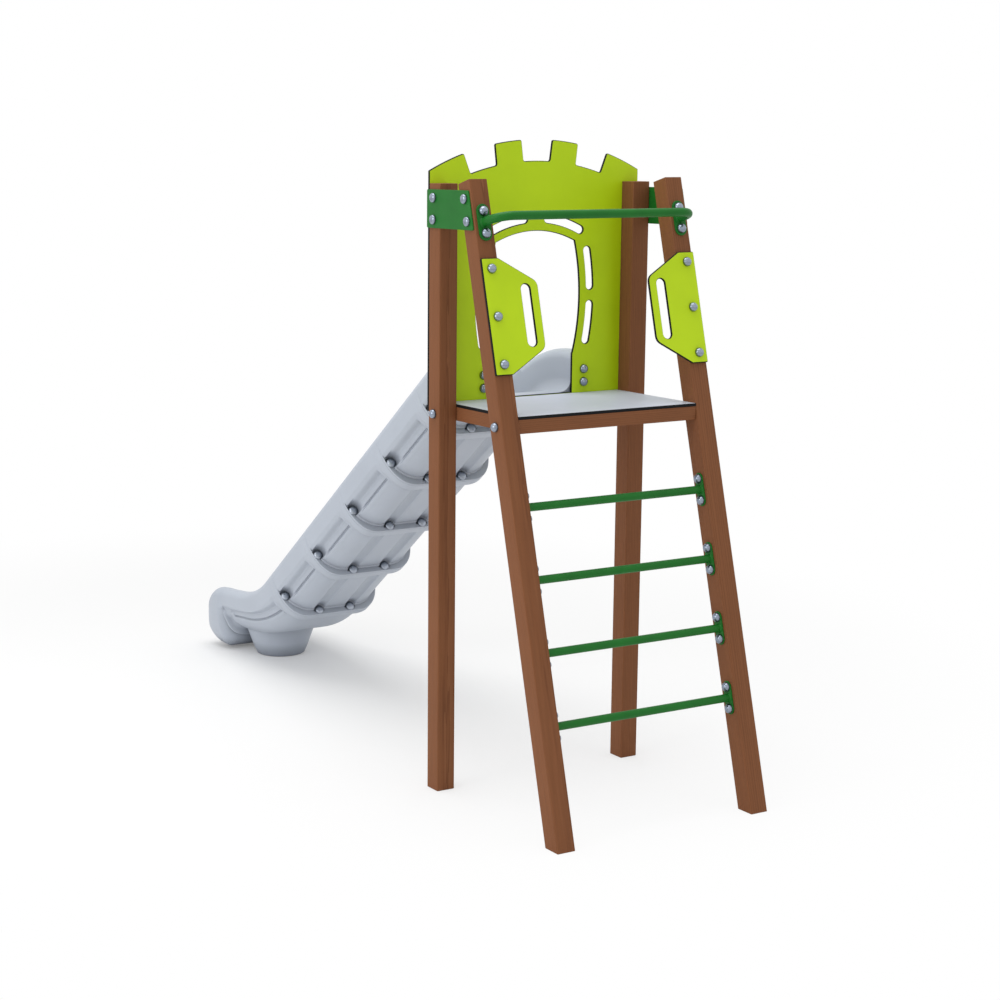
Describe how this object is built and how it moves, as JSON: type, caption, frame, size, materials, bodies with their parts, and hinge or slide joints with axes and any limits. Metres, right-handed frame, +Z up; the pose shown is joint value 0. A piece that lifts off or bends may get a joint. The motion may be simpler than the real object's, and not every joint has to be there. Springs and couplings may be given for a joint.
{
  "type": "playground slide",
  "caption": "Free-standing playground slide: rung ladder between leaning stiles, small platform, doorway panel with battlements, and a bolted moulded trough with a footed run-out.",
  "frame": {"origin": "middle of the footprint's bounding rectangle, on the ground", "axes": "+X across the ladder to the climber's right, +Y from the ladder through the doorway down the slide, +Z up"},
  "size_m": [1.1582, 4.011, 2.9005],
  "materials": {
    "timber": "brown stained timber with eased edges",
    "lime_panel": "lime laminate sheet with a near-black core at the cut edges, satin",
    "green_steel": "green powder coat, satin",
    "deck_panel": "light grey laminate deck with a near-black core at the cut edges, satin",
    "slide_plastic": "moulded grey-blue plastic, satin",
    "bolt_steel": "bright zinc-plated domes"
  },
  "bodies": {
    "root": {"bar_bolt_left_1": "bolt_steel", "bar_bolt_left_2": "bolt_steel", "bar_bolt_right_1": "bolt_steel", "bar_bolt_right_2": "bolt_steel", "beam_front": "timber", "beam_left": "timber", "beam_rear": "timber", "beam_right": "timber", "castle_panel": "lime_panel", "entry_bolt_left_1": "bolt_steel", "entry_bolt_left_2": "bolt_steel", "entry_bolt_right_1": "bolt_steel", "entry_bolt_right_2": "bolt_steel", "frame_bolt_left_1": "bolt_steel", "frame_bolt_left_2": "bolt_steel", "frame_bolt_right_1": "bolt_steel", "frame_bolt_right_2": "bolt_steel", "grab_bar": "green_steel", "hand_bolt_left_1": "bolt_steel", "hand_bolt_left_2": "bolt_steel", "hand_bolt_left_3": "bolt_steel", "hand_bolt_right_1": "bolt_steel", "hand_bolt_right_2": "bolt_steel", "hand_bolt_right_3": "bolt_steel", "hand_panel_left": "lime_panel", "hand_panel_right": "lime_panel", "panel_bolt_left_1": "bolt_steel", "panel_bolt_left_2": "bolt_steel", "panel_bolt_left_3": "bolt_steel", "panel_bolt_right_1": "bolt_steel", "panel_bolt_right_2": "bolt_steel", "panel_bolt_right_3": "bolt_steel", "plate_bolt_left_1": "bolt_steel", "plate_bolt_left_2": "bolt_steel", "plate_bolt_left_3": "bolt_steel", "plate_bolt_left_4": "bolt_steel", "plate_bolt_right_1": "bolt_steel", "plate_bolt_right_2": "bolt_steel", "plate_bolt_right_3": "bolt_steel", "plate_bolt_right_4": "bolt_steel", "platform_deck": "deck_panel", "post_left": "timber", "post_right": "timber", "rung_1": "green_steel", "rung_2": "green_steel", "rung_3": "green_steel", "rung_4": "green_steel", "slide_entry": "slide_plastic", "slide_exit": "slide_plastic", "slide_section_1": "slide_plastic", "slide_section_2": "slide_plastic", "slide_section_3": "slide_plastic", "slide_section_4": "slide_plastic", "stile_left": "timber", "stile_right": "timber", "top_plate_left": "green_steel", "top_plate_right": "green_steel"}
  },
  "joints": []
}
